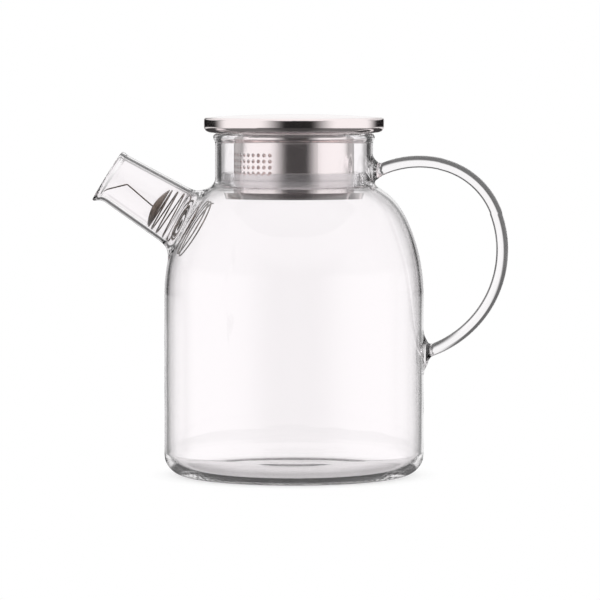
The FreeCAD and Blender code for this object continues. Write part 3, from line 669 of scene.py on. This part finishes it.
def milky_silicone():
    made, tree, shader = material("milky_silicone")
    shader.inputs["Roughness"].default_value = 0.12
    shader.inputs["IOR"].default_value = SILICONE_IOR
    shader.inputs["Transmission Weight"].default_value = 0.9
    place = add(tree, "ShaderNodeTexCoord")
    per_metre = 1 / (CLOUD_MM * MM)
    cloud = add(tree, "ShaderNodeTexNoise", Vector=place.outputs["Object"], Scale=per_metre, Detail=2.0)
    tone = add(tree, "ShaderNodeValToRGB", Fac=cloud.outputs["Fac"])
    tone.color_ramp.elements[0].color = colour("#FBFBFD")
    tone.color_ramp.elements[1].color = colour("#FFFFFF")
    tree.links.new(tone.outputs["Color"], shader.inputs["Base Color"])
    return made


dress(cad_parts["silicone_seal"], milky_silicone())
print("seal dressed")

# %% [markdown]
# ## The studio
#
# Clear glass shows only what is around it. The photographer's way is bright field: a white sheet behind the
# pot, soft boxes beside it and dark boards between them, which draw the dark line along every edge. Boards
# could be built as planes, but each would have to serve the steel, the thin wall and the solid handle at
# once. Here the world is the studio: it knows where a ray is going, and Light Path tells how often that ray
# has passed a skin of glass or bounced, so each kind of ray gets boards of its own. No real studio can do
# that. It sets the tones of this picture, and under another light the same glass has other edges.

# %% Directions in the studio
MATH, MIX = "ShaderNodeMath", "ShaderNodeMix"
TIMES, PLUS, MINUS = ({"operation": name} for name in ("MULTIPLY", "ADD", "SUBTRACT"))
MOST, LEAST = ({"operation": name} for name in ("MAXIMUM", "MINIMUM"))
SOFT = {"interpolation_type": "SMOOTHSTEP"}
# Degrees by which the dark gap on the camera's side is turned to the right.
GAP_TURN = 5.0

studio = bpy.data.worlds.new("studio")
scene.world = studio
studio.use_nodes = True
tree = studio.node_tree
tree.nodes.clear()
place = add(tree, "ShaderNodeTexCoord")
way = add(tree, "ShaderNodeSeparateXYZ", Vector=place.outputs["Generated"])
towards = add(tree, MATH, TIMES, _0=way.outputs["Y"], _1=-1.0)
bearing = add(tree, MATH, {"operation": "ARCTAN2"}, _0=way.outputs["X"], _1=towards)
off_gap = add(tree, MATH, MINUS, _0=bearing, _1=math.radians(GAP_TURN))
round_pot = add(tree, MATH, {"operation": "ABSOLUTE"}, _0=off_gap)
off_sheet = add(tree, MATH, {"operation": "ARCCOSINE"}, _0=way.outputs["Y"])
height = add(tree, MATH, {"operation": "ARCSINE"}, _0=way.outputs["Z"])
print("studio measures a ray's turn round the pot, its angle off the sheet and its height")

# %% Zones and skins


def zone(tree, angle, *edges):
    """1 past the first soft edge and short of the second, if given; an edge is two angles in degrees."""
    rise, *fall = (
        add(
            tree,
            "ShaderNodeMapRange",
            SOFT,
            Value=angle,
            From_Min=math.radians(start),
            From_Max=math.radians(end),
        )
        for start, end in zip(edges[::2], edges[1::2])
    )
    return add(tree, MATH, MINUS, _0=rise, _1=fall[0]) if fall else rise


path = add(tree, "ShaderNodeLightPath")
# A ray has passed no skin off the lid, two in one wall or rod, and six off the far wall's outside.
no_skin, two_skins, six_skins = (
    add(tree, MATH, {"operation": "COMPARE"}, _0=path.outputs["Transmission Depth"], _1=count)
    for count in (0.0, 2.0, 6.0)
)
print("studio counts the skins that a ray has passed")

# %% [markdown]
# ### What a mirror sees
#
# Polished steel and the skin of the glass mirror the sheet, a soft box on either side, the light overhead
# and, below the table's level, a dim grey. The dark gap on the camera's side gives the lid its dark middle.
# The gaps between the soft boxes and the sheet stay dark for the ends of the lid's rim, with light under
# and over it; inside the glass they are grey. Every level is a share of plain white.

# %% What a mirror sees
DARK = 0.01
LOW_GREY = 0.17
LOW_GAP_SHARE = 0.3
GAP_GREY = 0.35
SIDE_FILL = 0.75
# Degrees round the pot, from the dark gap.
SOFT_BOX = (14.0, 52.0, 100.0, 130.0)
SIDE_GAP = (100.0, 130.0, 160.0, 172.0)
# Degrees away from the middle of the white sheet.
SHEET_EDGE = (10.0, 16.0)
# Degrees above the level of the table.
LOW_LIMIT = (-14.0, -9.0)
FILL_BAND = (-10.0, -7.0, -4.0, -2.6)
FILL_HIGH = (4.0, 10.0)
OVERHEAD = (12.0, 28.0)

above_table = zone(tree, height, *LOW_LIMIT)
sheet = add(tree, MATH, MINUS, _0=1.0, _1=zone(tree, off_sheet, *SHEET_EDGE))
beside = zone(tree, round_pot, *SOFT_BOX)
boxes = add(tree, MATH, TIMES, _0=beside, _1=above_table)
lit = add(tree, MATH, MOST, _0=boxes, _1=sheet)
lit = add(tree, MATH, MOST, _0=lit, _1=zone(tree, height, *OVERHEAD))
below = add(tree, MATH, MINUS, _0=1.0, _1=above_table)
dim = add(tree, MIX, Factor=beside, _2=LOW_GREY * LOW_GAP_SHARE, _3=LOW_GREY)
low_light = add(tree, MATH, TIMES, _0=below, _1=dim)
low_fill = zone(tree, height, *FILL_BAND)
off_rim = add(tree, MATH, PLUS, _0=low_fill, _1=zone(tree, height, *FILL_HIGH))
rim_fill = add(tree, MATH, TIMES, _0=off_rim, _1=SIDE_FILL)
inside_fill = add(tree, MIX, Factor=low_fill, _2=GAP_GREY, _3=SIDE_FILL)
level = add(tree, MIX, Factor=no_skin, _2=inside_fill, _3=rim_fill)
fill = add(tree, MATH, TIMES, _0=zone(tree, round_pot, *SIDE_GAP), _1=level)
lit = add(tree, MATH, MOST, _0=lit, _1=fill)
dark = add(tree, MATH, MOST, _0=low_light, _1=DARK)
mirrored = add(tree, MATH, MOST, _0=lit, _1=dark)
print(f"mirrors see from {DARK} in the gap to 1 in the soft boxes")

# %% [markdown]
# ### What glass passes on
#
# A ray that goes straight through both walls sees the white sheet in a grey frame. One that bounces inside
# a wall sees a much darker frame, and a dim room behind the camera. The handle is a solid rod, which bends
# light like a lens, so what it shows is set by a board to the left, another below and a far frame.

# %% What glass passes on
BOARD = 0.4
WALL_BOARD = 0.08
ROD_BOARD = 0.13
ROOM = 0.4
# Degrees away from the middle of the white sheet.
DARK_FRAME = (11.0, 17.0, 62.0, 74.0)
WALL_FRAME = (14.0, 24.0, 40.0, 52.0)
FAR_FRAME = (34.0, 42.0, 100.0, 120.0)
ROOM_EDGE = (100.0, 150.0)
# The way to each of the handle's boards, and about how many degrees past its edge it begins.
LEFT_BOARD = (-0.94, 0.0, -0.34)
LEFT_EDGE = (0.0, 8.0)
LOW_BOARD = (-0.7, 0.0, -0.71)
LOW_EDGE = (2.0, 10.0)

frame_shade = zone(tree, off_sheet, *DARK_FRAME)
frame_above = add(tree, MATH, TIMES, _0=frame_shade, _1=above_table)
through = add(tree, MIX, Factor=frame_above, _2=1.0, _3=BOARD)
room = add(tree, MIX, Factor=zone(tree, off_sheet, *ROOM_EDGE), _2=1.0, _3=ROOM)
far_wall = add(tree, MIX, Factor=zone(tree, off_sheet, *WALL_FRAME), _2=1.0, _3=WALL_BOARD)
in_wall = add(tree, MATH, TIMES, _0=far_wall, _1=room)
left, low_left = (
    add(tree, "ShaderNodeVectorMath", {"operation": "DOT_PRODUCT"}, _0=place.outputs["Generated"], _1=side)
    for side in (LEFT_BOARD, LOW_BOARD)
)
left_shade = zone(tree, left.outputs["Value"], *LEFT_EDGE)
low_shade = zone(tree, low_left.outputs["Value"], *LOW_EDGE)
left_shade = add(tree, MATH, TIMES, _0=frame_shade, _1=left_shade)
boards = add(tree, MATH, MOST, _0=left_shade, _1=low_shade)
boards = add(tree, MATH, MOST, _0=boards, _1=zone(tree, off_sheet, *FAR_FRAME))
in_rod = add(tree, MIX, Factor=boards, _2=1.0, _3=ROD_BOARD)
print(f"glass sees boards of {BOARD} straight through, {WALL_BOARD} in a wall and {ROD_BOARD} in the rod")

# %% [markdown]
# ### Which ray sees what
#
# Now the rays are sorted. Those that never bounced went straight through; the rest are told apart by the
# skins they passed. In a weld a ray bounces many times and keeps a little light, or the weld would be black.
# A ray from a matt surface gathers an even light, and the camera itself sees plain white.

# %% Which ray sees what
WELD_LIGHT = 0.12
WELD_BOUNCES = 1.5
MATT_LIGHT = 0.95

bounced = add(tree, MATH, LEAST, _0=path.outputs["Glossy Depth"], _1=1.0)
scattered = add(tree, MATH, LEAST, _0=path.outputs["Diffuse Depth"], _1=1.0)
straight = add(tree, MIX, Factor=two_skins, _2=through, _3=in_rod)
off_skin = add(tree, MIX, Factor=six_skins, _2=mirrored, _3=far_wall)
off_skin = add(tree, MIX, Factor=two_skins, _2=off_skin, _3=in_wall)
light = add(tree, MIX, Factor=bounced, _2=straight, _3=off_skin)
in_weld = add(tree, MATH, {"operation": "GREATER_THAN"}, _0=path.outputs["Glossy Depth"], _1=WELD_BOUNCES)
weld_light = add(tree, MATH, TIMES, _0=in_weld, _1=WELD_LIGHT)
light = add(tree, MATH, MOST, _0=light, _1=weld_light)
light = add(tree, MIX, Factor=scattered, _2=light, _3=MATT_LIGHT)
light = add(tree, MIX, Factor=path.outputs["Is Camera Ray"], _2=light, _3=1.0)
ground = add(tree, "ShaderNodeBackground", Color=light, Strength=1.0)
add(tree, "ShaderNodeOutputWorld", Surface=ground)
print(f"studio world ready: {len(tree.nodes)} nodes")

# %% [markdown]
# ### Enough bounces
#
# In a weld, light is thrown from skin to skin dozens of times. Where the renderer gives up on a ray the glass
# turns black, so its limits are raised.

# %% Enough bounces
ALL_BOUNCES = 64
GLASS_BOUNCES = 48

scene.cycles.max_bounces = ALL_BOUNCES
scene.cycles.transmission_bounces = GLASS_BOUNCES
scene.cycles.glossy_bounces = GLASS_BOUNCES
print(f"up to {GLASS_BOUNCES} bounces in the glass")

# %% [markdown]
# ## The table
#
# A round white table carries the pot. It is a plain disc, a hair below the base, so that the two faces don't
# flicker into each other.

# %% The table's disc
TABLE_RADIUS = 0.1
TABLE_SEGMENTS = 96
TABLE_DROP = 0.0002

turns = [2 * math.pi * i / TABLE_SEGMENTS for i in range(TABLE_SEGMENTS)]
rim = [(TABLE_RADIUS * math.cos(t), TABLE_RADIUS * math.sin(t), -TABLE_DROP) for t in turns]
disc = bpy.data.meshes.new("white_table")
disc.from_pydata(rim, [], [list(range(TABLE_SEGMENTS))])
table = bpy.data.objects.new("white_table", disc)
scene.collection.objects.link(table)
print(f"table {2 * TABLE_RADIUS / MM:.0f} mm across")

# %% [markdown]
# ### The table's white
#
# The table is matt laminate. Under the pot about half of what is seen is the matt surface, which keeps the
# soft shadow; further out it fades to the plain white of the background, so its edge doesn't show. White
# that bounces inside the thick base would wash out the dark line round it, so the table is drawn darker for
# each bounce of the ray that sees it.

# %% The table's white
TABLE_WHITE = "#F9F9F9"
SHADOW_REACH = (0.045, 0.075)
SHADOW_SHARE = 0.45
BOUNCED_SHADE = 0.12
MOST_BOUNCES = 3.0


def white_laminate():
    made, tree, shader = material("white_laminate")
    shader.inputs["Roughness"].default_value = 0.9
    shader.inputs["Specular IOR Level"].default_value = 0.0
    path = add(tree, "ShaderNodeLightPath")
    bounces = add(tree, MATH, LEAST, _0=path.outputs["Glossy Depth"], _1=MOST_BOUNCES)
    level = add(tree, MATH, {"operation": "POWER"}, _0=BOUNCED_SHADE, _1=bounces)
    white = colour(TABLE_WHITE)[:3]
    white = add(tree, "ShaderNodeVectorMath", {"operation": "SCALE"}, _0=white, Scale=level)
    tree.links.new(white.outputs["Vector"], shader.inputs["Base Color"])
    glow = add(tree, "ShaderNodeEmission", Strength=level)
    place = add(tree, "ShaderNodeTexCoord")
    away = add(tree, "ShaderNodeVectorMath", {"operation": "LENGTH"}, Vector=place.outputs["Object"])
    near, far = SHADOW_REACH
    plain = add(
        tree,
        "ShaderNodeMapRange",
        SOFT,
        Value=away.outputs["Value"],
        From_Min=near,
        From_Max=far,
        To_Min=1 - SHADOW_SHARE,
    )
    seen = add(tree, MATH, MOST, _0=path.outputs["Is Camera Ray"], _1=path.outputs["Is Glossy Ray"])
    seen = add(tree, MATH, MOST, _0=seen, _1=path.outputs["Is Transmission Ray"])
    share = add(tree, MATH, TIMES, _0=seen, _1=plain)
    mix = add(tree, "ShaderNodeMixShader", Fac=share, _1=shader, _2=glow)
    tree.links.new(mix.outputs["Shader"], tree.nodes["Material Output"].inputs["Surface"])
    return made


dress(table, white_laminate())
print("table laid")
